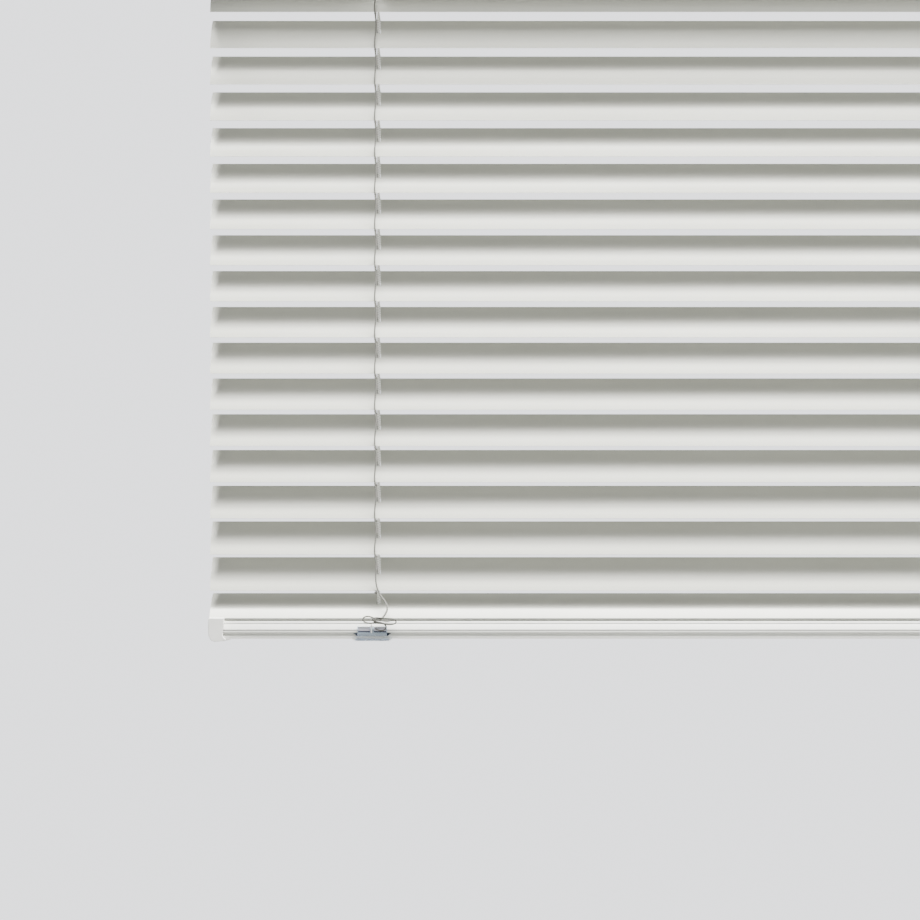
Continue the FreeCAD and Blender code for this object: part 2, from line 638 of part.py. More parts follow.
# The top is crowned: each pair is a share of the half depth, and the crown's share of its height there.
CROWN = [(0.73, 0.25), (0.46, 0.75), (0.23, 0.95), (0.0, 1.0), (-0.23, 0.95), (-0.46, 0.75), (-0.73, 0.25)]
outline = [(f"-({half_rail} - {back})", down(share)) for back, share in FACE]
outline += [(f"({half_rail} - {back})", down(share)) for back, share in reversed(FACE)]
outline += [(f"{out} * {half_rail}", f"({RAIL_TOP} + {rise} * rail_crown)") for out, rise in CROWN]
section = drawn(outline, f"2 * {rail_end}", f"-{rail_end}", "RailSection")
rail_hollow = box((f"-{rail_end} - 1", f"{rail_end} + 1"), about("0", "(rail_depth - 6)"),
                  (f"{RAIL_BOTTOM} + rail_wall", f"{RAIL_TOP} - rail_wall"))
cord_mouths = [
    box(about(f"{sign} * {CORD_X}", "cord_hole"), about("0", "cord_hole"),
        (f"{RAIL_TOP} - 2", f"{RAIL_TOP} + rail_crown + 1")) for sign in ("-1", "1")
]
node("bottom_rail", cut(section, rail_hollow, *cord_mouths))


def rail_cap():
    """A moulded cup over the rail's end, deeper than the rail, with a large round lower corner."""
    outer_x = f"({SLAT_LENGTH} / 2 + 0.3)"
    inner_x = f"({outer_x} - rail_cap_length)"
    side, low_edge, high_edge = (f"({half_rail} + 0.8)", f"({RAIL_BOTTOM} - rail_cap_drop)",
                                 f"({RAIL_TOP} + rail_cap_rise)")
    block = drawn([(f"-{side}", high_edge), (f"-{side}", low_edge), (side, low_edge), (side, high_edge),
                   (f"0.66 * {side}", high_edge), (f"0.33 * {side}", f"({high_edge} + 0.7 * rail_crown)"),
                   (f"-0.33 * {side}", f"({high_edge} + 0.7 * rail_crown)"), (f"-0.66 * {side}", high_edge)],
                  "rail_cap_length", inner_x, "CapBlock")
    soft = doc.addObject("Part::Fillet", "CapCorner")
    soft.Base = block
    doc.recompute()
    low, far = block.Shape.BoundBox.ZMin, block.Shape.BoundBox.XMax
    chosen = []
    for index, edge in enumerate(block.Shape.Edges, start=1):
        centre = edge.CenterOfMass
        if abs(centre.x - far) < 0.01 and abs(centre.z - low) < 0.01:
            chosen.append((index, 4.0, 4.0))
        elif abs(centre.x - far) < 0.01 and abs(centre.y) < 0.01:
            chosen.append((index, 1.5, 1.5))
    soft.Edges = chosen
    socket = drawn([(f"1.004 * {y}", z) for y, z in outline], f"{rail_end} - {inner_x} + 1.0",
                   f"{inner_x} - 1", "CapSocket")
    plug = box((f"{rail_end} - 6", f"{rail_end} + 0.2"), about("0", "(rail_depth - 6.4)"),
               (f"{RAIL_BOTTOM} + rail_wall + 0.2", f"{RAIL_TOP} - rail_wall - 0.2"))
    return fuse(cut(soft, socket), plug)


right_rail_cap = rail_cap()
node("bottom_rail_caps", compound(mirrored(right_rail_cap), right_rail_cap))


def ladder_clip(sign):
    """A clear clip under the rail that holds the ladder's ends: windows in front, flared ears below."""
    middle = f"({sign} * ({LADDER_X} + 1.6))"
    face = f"({half_rail} + 0.1)"
    skin_y = f"({face} + clip_wall)"
    window = "(clip_length / 2 - 2.4)"
    low = f"({RAIL_BOTTOM} - 0.1)"
    pieces = [box(about(middle, "clip_ears"), (f"-{skin_y}", skin_y), (f"{low} - 0.9", low))]
    holes = []
    for front in ("-1", "1"):
        y = about(f"({front} * ({face} + clip_wall / 2))", "clip_wall")
        pieces.append(box(about(middle, "clip_length"), y, (f"{low} - 0.9", down(0.28))))
        pieces.append(box(about(middle, "clip_ears"), y, (f"{low} - 0.9", f"{low} + 2.2")))
        for way in ("-1", "1"):
            centre = f"({middle} + {way} * ({window} / 2 + 0.9))"
            holes.append(box(about(centre, window), about(f"({front} * ({face} + clip_wall / 2))", "3"),
                             (down(0.62), down(0.36))))
    return cut(fuse(*pieces), *holes)


node("ladder_clips", compound(ladder_clip("-1"), ladder_clip("1")))

# %% The left ladder's spare cord, tied in a small bow on the rail above the clip

BOW_DIAMETER = 0.8
BOW_ROUTE = [
    (0.2, -14.5, -4.3), (2.5, -14.9, -5.3), (5.0, -15.0, -5.4), (6.8, -14.8, -4.0),
    (6.4, -14.5, -2.0), (4.2, -14.1, -0.7), (1.4, -13.9, -0.1), (-0.6, -14.1, 0.9),
    (1.2, -14.9, 1.9), (4.2, -14.9, 1.9), (7.4, -14.6, 1.7), (10.3, -14.4, 1.5),
    (12.2, -14.4, 0.3), (11.6, -14.5, -1.3), (9.0, -14.8, -1.8), (5.8, -15.4, -1.5),
    (2.8, -15.9, -0.9), (-0.2, -15.7, -0.7), (-3.2, -15.0, -1.0), (-6.0, -14.4, -0.5),
    (-7.4, -14.1, 1.1), (-6.2, -13.9, 2.8), (-3.6, -14.2, 3.1), (-1.0, -15.4, 2.2),
    (1.6, -16.3, 1.0), (4.6, -16.2, 0.2), (7.8, -15.9, 0.0), (11.0, -15.5, 0.5), (13.8, -15.1, 1.0),
]


def cord_tube(points, diameter):
    """A round tube along straight runs joined by tangent arcs, each as large as its runs allow."""
    radii, edges, last = [], [], points[0]
    for before, corner_point, after in zip(points, points[1:], points[2:]):
        come, go = corner_point - before, after - corner_point
        turn = come.getAngle(go)
        reach = 0.45 * min(come.Length, go.Length)
        radii.append(reach / math.tan(turn / 2))
        enter = corner_point - come.normalize() * reach
        leave = corner_point + go.normalize() * reach
        middle_way = (enter + leave) * 0.5 - corner_point
        depth = radii[-1] / math.cos(turn / 2) - radii[-1]
        edges.append(Part.LineSegment(last, enter).toShape())
        edges.append(Part.Arc(enter, corner_point + middle_way.normalize() * depth, leave).toShape())
        last = leave
    edges.append(Part.LineSegment(last, points[-1]).toShape())
    path = Part.Wire(edges)
    start = (points[1] - points[0]).normalize()
    profile = Part.Wire(Part.Circle(points[0], start, diameter / 2).toShape())
    tube = path.makePipeShell([profile], True, True)
    section_volume = math.pi * diameter ** 2 / 4 * path.Length
    print("cord length", round(path.Length, 1), "volume share", round(tube.Volume / section_volume, 3),
          "radii", [round(radius, 1) for radius in radii])
    return tube


ladder_left = -number(LADDER_X)
rail_top = number(RAIL_TOP)
bow = doc.addObject("Part::Feature", "Bow")
bow.Shape = cord_tube([Vector(x, y, z) for x, y, z in BOW_ROUTE], BOW_DIAMETER)
bow.Placement.Base = Vector(ladder_left, 0, rail_top)
node("ladder_bow", bow)

# %% Check and write the sub-parts

doc.recompute()
for item in doc.Objects:
    if "Invalid" in item.State or "Error" in item.State:
        raise RuntimeError(f"{item.Name} ({item.Label}) failed: {item.State}")
os.makedirs("parts", exist_ok=True)
for name, piece in nodes.items():
    if piece.Shape.isNull() or not piece.Shape.isValid():
        raise RuntimeError(f"{name} has no valid shape")
    piece.Shape.exportStep(f"parts/{name}.step")
print(len(nodes), "sub-parts written")
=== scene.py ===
# %% [markdown]
# # A narrow-slat venetian blind
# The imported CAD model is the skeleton: it says where every piece is and how it moves. This lesson dresses
# it in finer shapes and finishes. Each new piece is named, given a material, and told which body to ride.

# %% Load the frame
import json
import math
import random

import bmesh
import bpy
from mathutils import Matrix, Vector


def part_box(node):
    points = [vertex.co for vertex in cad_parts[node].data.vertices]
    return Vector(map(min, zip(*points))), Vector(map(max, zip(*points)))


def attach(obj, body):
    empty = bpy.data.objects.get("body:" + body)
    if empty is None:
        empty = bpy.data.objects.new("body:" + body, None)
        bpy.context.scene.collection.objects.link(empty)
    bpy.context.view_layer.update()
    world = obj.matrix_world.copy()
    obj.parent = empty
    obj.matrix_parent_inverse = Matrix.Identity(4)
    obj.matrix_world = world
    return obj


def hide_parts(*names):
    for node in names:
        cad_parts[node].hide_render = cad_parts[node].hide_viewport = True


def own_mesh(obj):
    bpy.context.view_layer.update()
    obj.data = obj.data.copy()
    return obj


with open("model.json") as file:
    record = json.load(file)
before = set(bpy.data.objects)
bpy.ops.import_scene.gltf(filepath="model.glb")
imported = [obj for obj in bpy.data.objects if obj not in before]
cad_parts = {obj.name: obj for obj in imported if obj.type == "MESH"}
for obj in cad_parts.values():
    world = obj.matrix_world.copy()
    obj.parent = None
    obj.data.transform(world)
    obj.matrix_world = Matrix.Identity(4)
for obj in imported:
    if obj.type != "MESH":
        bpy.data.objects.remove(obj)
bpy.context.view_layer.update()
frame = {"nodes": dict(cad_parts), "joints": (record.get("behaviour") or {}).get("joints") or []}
random.seed(4)
MM = 0.001

# %% [markdown]
# ## Places
# Places could be typed in as numbers, but then a change in the CAD model would leave the new pieces
# behind, so they are read from the frame. Every slat turns on a hinge of its own, and the hinge's point is
# the middle of its lift cord slots. Strings, cords, rail, caps and clips are CAD nodes, so their boxes say
# where they are.

# %% Where things are
joints = {joint["name"]: joint for joint in frame["joints"]}
SLATS = [f"slat_{count:02d}" for count in range(1, 19)]
pivots = {name: Vector(joints[name + "_tilt"]["pos_m"]) for name in SLATS}
first, last_hung, last = pivots["slat_01"], pivots["slat_17"], pivots["slat_18"]
pitch = first.z - pivots["slat_02"].z

front_low, front_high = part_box("ladder_front_strings")
back_low, back_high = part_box("ladder_back_strings")
cord_low, cord_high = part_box("lift_cord_bay_02")
string_radius = (front_high.y - front_low.y) / 2
cord_radius = (cord_high.y - cord_low.y) / 2
ladder_x = front_high.x - string_radius
cord_x = cord_high.x - cord_radius
front_y, back_y = front_low.y + string_radius, back_low.y + string_radius
front_hook = front_low.z - last_hung.z
back_hook = back_low.z - last_hung.z
rail_low, rail_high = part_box("bottom_rail")
RAIL_FACE_HEIGHT = 10.3 * MM
rail_edge = rail_low.z + RAIL_FACE_HEIGHT
cap_low, cap_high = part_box("bottom_rail_caps")
clip_low, clip_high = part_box("ladder_clips")
slat_low, slat_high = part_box("slat_01")
lift_travel = joints["lift"]["range_m"][1]
gathered = 1 - joints["slat_17_lift"]["range_m"][1] / (last_hung - first).length
print("pitch", round(pitch, 4), "ladder", round(ladder_x, 4), "gathered", round(gathered, 4))

# %% [markdown]
# ## The camera
# It stands level with the bottom of the blind and near its left end, and looks straight on. Turning the
# camera up would make the blind's upright lines lean together, so lens shift lifts the view instead, as a
# view camera does. The lens follows from how many metres of the blind the view spans.

# %% Camera
SENSOR_MM = 36.0
CAMERA_DISTANCE, VIEW_SPAN = 1.300, 0.54925
FROM_SLAT_END, BELOW_LAST_SLAT, SHIFT_UP = 0.1486, 0.0033, 0.161
bpy.ops.object.camera_add(location=(slat_low.x + FROM_SLAT_END, -CAMERA_DISTANCE, last.z - BELOW_LAST_SLAT),
                          rotation=(math.pi / 2, 0, 0))
camera = bpy.context.object
camera.data.lens = SENSOR_MM * CAMERA_DISTANCE / VIEW_SPAN
camera.data.shift_y = SHIFT_UP
camera.data.clip_start = 0.01
bpy.context.scene.camera = camera
print("lens", round(camera.data.lens, 1))

# %% [markdown]
# ## Light
# A shut blind is read by its shading: every slat runs from grey at its top to bright at its lower edge,
# because light from steeply above is cut off by the slat over it. A world of one brightness would light
# all of it alike. So this world is dim on the room's side, where it only fills the shade, and bright
# behind the blind, as a window is. It fades with the direction's Y between the two.

# %% World
ROOM_SIDE, WINDOW_SIDE = 0.27, 2.2
FADE_START, FADE_END = 0.70, 0.93
world = bpy.data.worlds.new("Room")
world.use_nodes = True
tree = world.node_tree
background = tree.nodes["Background"]
background.inputs["Color"].default_value = (0.955, 0.965, 1.0, 1)
way = tree.nodes.new("ShaderNodeTexCoord")
parts = tree.nodes.new("ShaderNodeSeparateXYZ")
fade = tree.nodes.new("ShaderNodeMapRange")
fade.interpolation_type = "SMOOTHSTEP"
for socket, value in (("From Min", FADE_START), ("From Max", FADE_END),
                      ("To Min", ROOM_SIDE), ("To Max", WINDOW_SIDE)):
    fade.inputs[socket].default_value = value
ray = tree.nodes.new("ShaderNodeLightPath")
seen = tree.nodes.new("ShaderNodeMix")
seen.inputs["B"].default_value = WINDOW_SIDE
tree.links.new(way.outputs["Generated"], parts.inputs[0])
tree.links.new(parts.outputs["Y"], fade.inputs["Value"])
tree.links.new(ray.outputs["Is Camera Ray"], seen.inputs["Factor"])
tree.links.new(fade.outputs["Result"], seen.inputs["A"])
tree.links.new(seen.outputs["Result"], background.inputs["Strength"])
bpy.context.scene.world = world
print("world nodes", len(tree.nodes))

# %% [markdown]
# One big panel over the room would light every slat's top as much as its lower edge. Four strips side by
# side, strongest close to the blind, give the steep light that comes down past each slat. A pale floor
# catches what goes by, and sends a little of it up under the slats.

# %% Panels and floor
PANEL_HEIGHT, PANEL_MIDDLE, PANEL_LENGTH = 1.6, 0.35, 2.3
WARM_WHITE = (1.0, 0.995, 0.965)
PANELS = (("steep_panel", 0.125, 0.38, 205.0), ("high_panel", 0.38, 0.65, 70.0),
          ("middle_panel", 0.65, 1.04, 38.0), ("front_panel", 1.04, 1.80, 24.0))
FLOOR_SIZE, FLOOR_FAR_EDGE, FLOOR_DROP, FLOOR_GREY = 12.0, 1.9, 0.48, (0.50, 0.50, 0.49, 1)


def panel(name, near, far, power):
    """A soft strip of light above the room, from near to far in front of the blind, itself not seen."""
    bpy.ops.object.light_add(type="AREA", location=(PANEL_MIDDLE, -(near + far) / 2, PANEL_HEIGHT))
    light = bpy.context.object
    light.name = name
    light.data.shape = "RECTANGLE"
    light.data.size, light.data.size_y = PANEL_LENGTH, far - near
    light.data.energy = power
    light.data.color = WARM_WHITE
    light.visible_camera = False


for name, near, far, power in PANELS:
    panel(name, near, far, power)

bpy.ops.mesh.primitive_plane_add(
    size=FLOOR_SIZE, location=(0, FLOOR_FAR_EDGE - FLOOR_SIZE / 2, rail_low.z - FLOOR_DROP))
floor = bpy.context.object
floor.name = "studio_floor"
floor_paint = bpy.data.materials.new("studio_floor")
floor_paint.use_nodes = True
floor_paint.node_tree.nodes["Principled BSDF"].inputs["Base Color"].default_value = FLOOR_GREY
floor.data.materials.append(floor_paint)

# %% [markdown]
# ## Sums on sockets
# A finish is a small piece of arithmetic on patterns. Adding and linking each Math node by hand hides the
# sum, so this class wraps a node's output, and + - and * on it add the Math nodes. One method of the second
# class makes any other node.

# %% A wrapper for sockets
class Output:
    """A node's output that takes part in sums."""

    def __init__(self, finish, socket):
        self.finish, self.socket = finish, socket

    def sum(self, operation, first_value, second_value):
        return self.finish.node("ShaderNodeMath", {"operation": operation},
                                {0: first_value, 1: second_value})

    def __add__(self, other):
        return self.sum("ADD", self, other)

    def __radd__(self, other):
        return self.sum("ADD", other, self)

    def __sub__(self, other):
        return self.sum("SUBTRACT", self, other)

    def __rsub__(self, other):
        return self.sum("SUBTRACT", other, self)

    def __mul__(self, other):
        return self.sum("MULTIPLY", self, other)

    def __rmul__(self, other):
        return self.sum("MULTIPLY", other, self)


# %% A maker of nodes
class Finish:
    """A material whose nodes are added one call at a time."""

    def __init__(self, name):
        self.material = bpy.data.materials.new(name)
        self.material.use_nodes = True
        self.tree = self.material.node_tree
        self.shader = self.tree.nodes["Principled BSDF"]
        self.place = self.node("ShaderNodeTexCoord", out="Object")

    def node(self, kind, settings=None, sockets=None, out=0):
        """A node of this kind: its settings first, then each socket's value or link."""
        made = self.tree.nodes.new(kind)
        for key, value in (settings or {}).items():
            if key == "ramp":
                while len(made.color_ramp.elements) < len(value):
                    made.color_ramp.elements.new(0.5)
                for stop, (position, colour) in zip(made.color_ramp.elements, value):
                    stop.position, stop.color = position, (*colour, 1)
            else:
                setattr(made, key, value)
        for key, value in (sockets or {}).items():
            if isinstance(value, Output):
                self.tree.links.new(value.socket, made.inputs[key])
            else:
                made.inputs[key].default_value = value
        return Output(self, made.outputs[out])

    def noise(self, scale, detail=3.0, stretch=(1, 1, 1)):
        """Cloudy variation, scale lumps to the metre, from 0 to 1, stretched along an axis if asked."""
        mapped = self.node("ShaderNodeMapping", None, {"Vector": self.place, "Scale": stretch})
        return self.node("ShaderNodeTexNoise", None,
                         {"Vector": mapped, "Scale": scale, "Detail": detail}, out="Fac")

    def ramp(self, value, *stops):
        """A colour for each value, between the stops."""
        return self.node("ShaderNodeValToRGB", {"ramp": stops}, {"Fac": value})

    def bump(self, height, depth, strength=1.0):
        return self.node("ShaderNodeBump", None,
                         {"Height": height, "Distance": depth, "Strength": strength})

    def shade(self, **sockets):
        """The shader's sockets, with spaces written as underscores."""
        for key, value in sockets.items():
            socket = self.shader.inputs[key.replace("_", " ")]
            if isinstance(value, Output):
                self.tree.links.new(value.socket, socket)
            else:
                socket.default_value = value
        return self.material


# %% [markdown]
# ## Stove enamel
# Slats and rails are rolled from strip that is painted and baked before it is shaped. The paint is even,
# a little glossy, and shows a very fine ripple, with streaks of handling and dust along the strip. One
# colour would do from far away. Noise stretched along X gives the streaks, and a bump of a fiftieth of a
# millimetre gives the ripple in the gloss.

# %% Enamel


def enamel(name, pale, dull, roughness, ripple):
    """Baked paint: pale and dull are its cleanest and dustiest colours."""
    finish = Finish(name)
    streaks = finish.noise(60, 4, (0.12, 1, 1))
    specks = finish.noise(900, 2)
    colour = finish.ramp(0.7 * streaks + 0.3 * specks, (0.32, dull), (0.62, pale))
    smear = finish.noise(35, 3, (0.4, 1, 1))
    skin = finish.noise(1400, 1.5, (0.6, 1, 1))
    return finish.shade(Base_Color=colour, Roughness=roughness - 0.04 + 0.12 * smear,
                        Normal=finish.bump(skin, ripple), IOR=1.48)


slat_enamel = enamel("slat_enamel", (0.68, 0.685, 0.62), (0.63, 0.635, 0.57), 0.36, 0.02 * MM)
rail_enamel = enamel("rail_enamel", (0.86, 0.865, 0.83), (0.81, 0.815, 0.78), 0.34, 0.02 * MM)
headrail_enamel = enamel("headrail_enamel", (0.62, 0.625, 0.57), (0.57, 0.575, 0.52), 0.36, 0.02 * MM)
bracket_enamel = enamel("bracket_enamel", (0.50, 0.51, 0.49), (0.45, 0.46, 0.44), 0.42, 0.05 * MM)
print("enamels", sum("enamel" in material.name for material in bpy.data.materials))

# %% [markdown]
# ## Plastics
# The caps are moulded in off-white plastic with a fine spark-eroded grain. The ladder clips and the wand
# are clear plastic; light goes through them and picks up a blue tint where they are thick. Real glassy
# transmission is used, and not a see-through alpha, because it bends what is behind it.

# %% Caps, nylon and clear plastic


def moulded(name, colour, shadow, roughness):
    """Opaque moulded plastic with a grain too fine to see one by one."""
    finish = Finish(name)
    cloud = finish.noise(120, 3)
    grain = finish.node("ShaderNodeTexVoronoi", None, {"Vector": finish.place, "Scale": 2600},
                        out="Distance")
    return finish.shade(Base_Color=finish.ramp(cloud, (0.35, shadow), (0.65, colour)),
                        Roughness=roughness + 0.08 * cloud, Normal=finish.bump(grain, 0.02 * MM, 0.6),
                        IOR=1.47)


def clear(name, tint, roughness, through=0.82):
    """See-through plastic, with faint flow marks from the mould in its gloss and surface."""
    finish = Finish(name)
    flow = finish.noise(220, 3, (1, 1, 0.5))
    thick = (tint[0] * 0.93, tint[1] * 0.96, tint[2])
    return finish.shade(Base_Color=finish.ramp(flow, (0.35, thick), (0.65, tint)),
                        Roughness=roughness + 0.1 * flow, Normal=finish.bump(flow, 0.08 * MM, 0.5),
                        Transmission_Weight=through, IOR=1.49)


cap_plastic = moulded("cap_plastic", (0.90, 0.90, 0.87), (0.86, 0.86, 0.83), 0.38)
pane_plastic = clear("pane_plastic", (0.80, 0.78, 0.86), 0.15, 0.45)
# Near-black opaque plastic for the clip's window edges and barbs: painted shade where clear plastic looks
# dark.
painted_shade_plastic = moulded("painted_shade_plastic", (0.030, 0.036, 0.055), (0.018, 0.022, 0.035), 0.2)
skirt_plastic = clear("skirt_plastic", (0.97, 0.975, 0.98), 0.06, 0.96)
# Pale opaque plastic: the grommets' own colour, and on the clip's rib a painted highlight.
pale_plastic_and_rib_highlight = moulded("pale_plastic_and_rib_highlight", (0.95, 0.955, 0.96), (0.90, 0.91, 0.92), 0.25)
nylon = moulded("nylon", (0.34, 0.35, 0.34), (0.29, 0.30, 0.29), 0.5)
clip_plastic = clear("clip_plastic", (0.66, 0.76, 0.88), 0.12)
wand_plastic = clear("wand_plastic", (0.86, 0.90, 0.93), 0.08)
print("plastics", sum("plastic" in material.name for material in bpy.data.materials))

# %% [markdown]
# ## Steel
# The tilt rod is bright drawn steel, with fine lines along it. The power spring is darker rolled strip.
# Both are one recipe with two colours: noise squeezed to long lines, over patches of tarnish that dull
# the gloss.

# %% Steel


def drawn_steel(name, bright, dark, roughness):
    """Metal with fine lines along X and a mottled gloss."""
    finish = Finish(name)
    lines = finish.noise(2200, 2, (0.02, 1, 1))
    tarnish = finish.noise(70, 3)
    return finish.shade(Base_Color=finish.ramp(0.6 * tarnish + 0.4 * lines, (0.3, dark), (0.7, bright)),
                        Metallic=1.0, Roughness=roughness + 0.2 * tarnish,
                        Normal=finish.bump(lines, 0.02 * MM))


rod_steel = drawn_steel("rod_steel", (0.62, 0.62, 0.61), (0.44, 0.44, 0.44), 0.25)
spring_steel = drawn_steel("spring_steel", (0.42, 0.42, 0.44), (0.26, 0.27, 0.30), 0.3)
print("steel nodes", len(rod_steel.node_tree.nodes))

# %% [markdown]
# ## Braid
# Ladder strings and lift cords are braided polyester. Two sets of yarns cross over each other round the
# cord, so the surface is a lattice of small slanted lumps with gaps between, and loose fibres. The
# yarns could be modelled one by one, but there are thousands in cords a millimetre thick, so two slanted
# waves make the lattice in colour and bump. The colour is darker in the gaps: painted shade.

# %% Braid


def braid(name, pale, gap_shade, yarns):
    """Braided cord: yarns to the metre cross in two slants."""
    finish = Finish(name)
    slants = []
    for slant in (0.55, -0.55):
        turned = finish.node("ShaderNodeMapping", None, {"Vector": finish.place, "Rotation": (0, slant, 0)})
        slants.append(finish.node("ShaderNodeTexWave", {"bands_direction": "Z"},
                                  {"Vector": turned, "Scale": yarns, "Distortion": 1.5, "Detail": 1.0},
                                  out="Fac"))
    lattice = finish.node("ShaderNodeMath", {"operation": "MAXIMUM"}, {0: slants[0], 1: slants[1]})
    fibres = finish.noise(5200, 3)
    worn = finish.noise(160, 2)
    height = 0.7 * lattice + 0.3 * fibres
    # Low parts of the lattice take the gap colour, which is painted shade between the yarns. The worn noise
    # is real wear.
    colour = finish.ramp(height - 0.25 * worn, (0.15, gap_shade), (0.62, pale))
    return finish.shade(Base_Color=colour, Roughness=0.86, Normal=finish.bump(height, 0.12 * MM),
                        Sheen_Weight=0.25)


ladder_braid = braid("ladder_braid", (0.20, 0.20, 0.18), (0.075, 0.075, 0.07), 330)
# The bow is the ladder's own cord. This darker copy of its braid is painted shade.
shaded_bow_braid = braid("shaded_bow_braid", (0.095, 0.095, 0.082), (0.03, 0.03, 0.027), 330)
lift_braid = braid("lift_braid", (0.93, 0.93, 0.88), (0.55, 0.55, 0.52), 260)
print("braid nodes", len(lift_braid.node_tree.nodes))

# %% [markdown]
# ## Helpers for making pieces
# An operator works on whatever is selected, so each step starts by selecting only what it is meant for.
# These few helpers do that, apply a modifier, give a piece its finish, copy it with a mesh of its own, and
# settle it with its object at the origin, where the patterns of its finish stay put.

# %% Helpers for pieces


def only(*things):
    """These objects are selected, the first is active, and nothing else is."""
    bpy.ops.object.select_all(action="DESELECT")
    for thing in things:
        thing.select_set(True)
    bpy.context.view_layer.objects.active = things[0]


def settle(thing, name):
    """The piece keeps its looks, with its object at the origin, unturned and unscaled."""
    only(thing)
    bpy.ops.object.transform_apply(location=True, rotation=True, scale=True)
    thing.name = thing.data.name = name
    return thing


def modify(thing, kind, **settings):
    """One modifier, applied."""
    only(thing)
    modifier = thing.modifiers.new(kind.title(), kind)
    for key, value in settings.items():
        setattr(modifier, key, value)
    bpy.ops.object.modifier_apply(modifier=modifier.name)


def paint(thing, material):
    """The piece's finish."""
    thing.data.materials.clear()
    thing.data.materials.append(material)
    return thing


def twin(thing, name):
    """A copy with its own mesh."""
    copy = thing.copy()
    copy.data = thing.data.copy()
    bpy.context.collection.objects.link(copy)
    copy.name = copy.data.name = name
    return copy


def moved(thing, matrix):
    """The piece's mesh moved, while its object stays at the origin."""
    thing.data.transform(matrix)
    return thing


# %% [markdown]
# A thread could be a chain of cylinders, but its joints would show. A curve with a bevel is one smooth
# tube. One helper gives the points along a soft line by a few guide points, and the other gives any line
# its thickness and turns it into a mesh.

# %% Helpers for threads
def smooth_line(guide, per_run=6):
    """Points along a soft curve by the guide points, as a NURBS curve without thickness gives them."""
    curve = bpy.data.curves.new("guide", "CURVE")
    curve.dimensions = "3D"
    line = curve.splines.new("NURBS")
    line.points.add(len(guide) - 1)
    for point, place in zip(line.points, guide):
        point.co = (*place, 1)
    line.order_u = 3
    line.use_endpoint_u = True
    line.resolution_u = per_run
    holder = bpy.data.objects.new("guide", curve)
    points = [vertex.co.copy() for vertex in bpy.data.meshes.new_from_object(holder).vertices]
    bpy.data.objects.remove(holder)
    return points


def thread(name, points, radius, material, sides=8):
    """A round thread through points, as a mesh tube with closed ends."""
    curve = bpy.data.curves.new(name, "CURVE")
    curve.dimensions = "3D"
    line = curve.splines.new("POLY")
    line.points.add(len(points) - 1)
    for point, place in zip(line.points, points):
        point.co = (*place, 1)
    curve.bevel_depth = radius
    curve.bevel_resolution = max(1, sides // 2 - 2)
    curve.use_fill_caps = True
    tube = bpy.data.objects.new(name, curve)
    bpy.context.collection.objects.link(tube)
    only(tube)
    bpy.ops.object.convert(target="MESH")
    bpy.ops.object.shade_smooth()
    return paint(bpy.context.object, material)


# %% [markdown]
# ## One slat
# A slat is strip rolled to a shallow arc. A flat strip could be bent with a modifier, but spinning one
# straight edge about an axis under the slat gives a true arc with even columns. Solidify gives it the
# sheet's thickness. Rounded ends and the slots for the lift cords are cut with solid cutters, as the press
# does it.

# %% The slat's sizes, and the arc by spinning
SLAT_WIDTH, CROWN, SHEET = 25.0 * MM, 2.2 * MM, 0.2 * MM
SLAT_LENGTH = slat_high.x - slat_low.x
CORNER, SLOT_LENGTH, SLOT_WIDTH = 3.0 * MM, 2.4 * MM, 3.6 * MM
arc_radius = ((SLAT_WIDTH / 2) ** 2 + CROWN ** 2) / (2 * CROWN)
half_angle = math.asin(SLAT_WIDTH / 2 / arc_radius)


def rolled_strip():
    """A thin arc across the slat, spun from one straight edge."""
    bpy.ops.object.select_all(action="DESELECT")
    bpy.ops.mesh.primitive_plane_add(size=SLAT_LENGTH)
    strip = bpy.context.object
    bpy.ops.object.mode_set(mode="EDIT")
    bpy.ops.mesh.select_all(action="SELECT")
    bpy.ops.transform.resize(value=(1, 0, 0))
    bpy.ops.mesh.remove_doubles(threshold=1e-6)
    bpy.ops.transform.translate(value=(0, arc_radius * math.sin(half_angle),
                                       arc_radius * (math.cos(half_angle) - 1)))
    bpy.ops.mesh.spin(steps=16, angle=-2 * half_angle, center=(0, 0, -arc_radius), axis=(1, 0, 0))
    bpy.ops.mesh.select_all(action="SELECT")
    bpy.ops.mesh.normals_make_consistent(inside=False)
    bpy.ops.object.mode_set(mode="OBJECT")
    return strip


strip = rolled_strip()
heights = [vertex.co.z for vertex in strip.data.vertices]
print("strip", len(strip.data.polygons), "faces, crown", round(max(heights) - min(heights), 5))

# %% [markdown]
# The end of a real slat is cut with rounded corners, so the strip is kept only where it lies inside a
# rounded plate. The slots are long holes with round ends, so their cutters are round-ended too.

# %% Round the ends, punch the slots and give the sheet its thickness
CUTTER_HEIGHT, ROUND_END = 12 * MM, 0.49


def round_plate(width, depth, corner, height, middle):
    """A plate with round upright corners, used as a cutter."""
    bpy.ops.object.select_all(action="DESELECT")
    bpy.ops.mesh.primitive_cube_add(size=1, location=middle, scale=(width, depth, height))
    plate = bpy.context.object
    bpy.ops.object.transform_apply(location=True, rotation=True, scale=True)
    bpy.ops.object.mode_set(mode="EDIT")
    shape = bmesh.from_edit_mesh(plate.data)
    bpy.ops.mesh.select_all(action="DESELECT")
    for edge in shape.edges:
        way = edge.verts[0].co - edge.verts[1].co
        edge.select_set(abs(way.z) > 0.9 * way.length)
    bmesh.update_edit_mesh(plate.data)
    bpy.ops.mesh.bevel(offset=corner, segments=8, affect="EDGES")
    bpy.ops.object.mode_set(mode="OBJECT")
    return plate


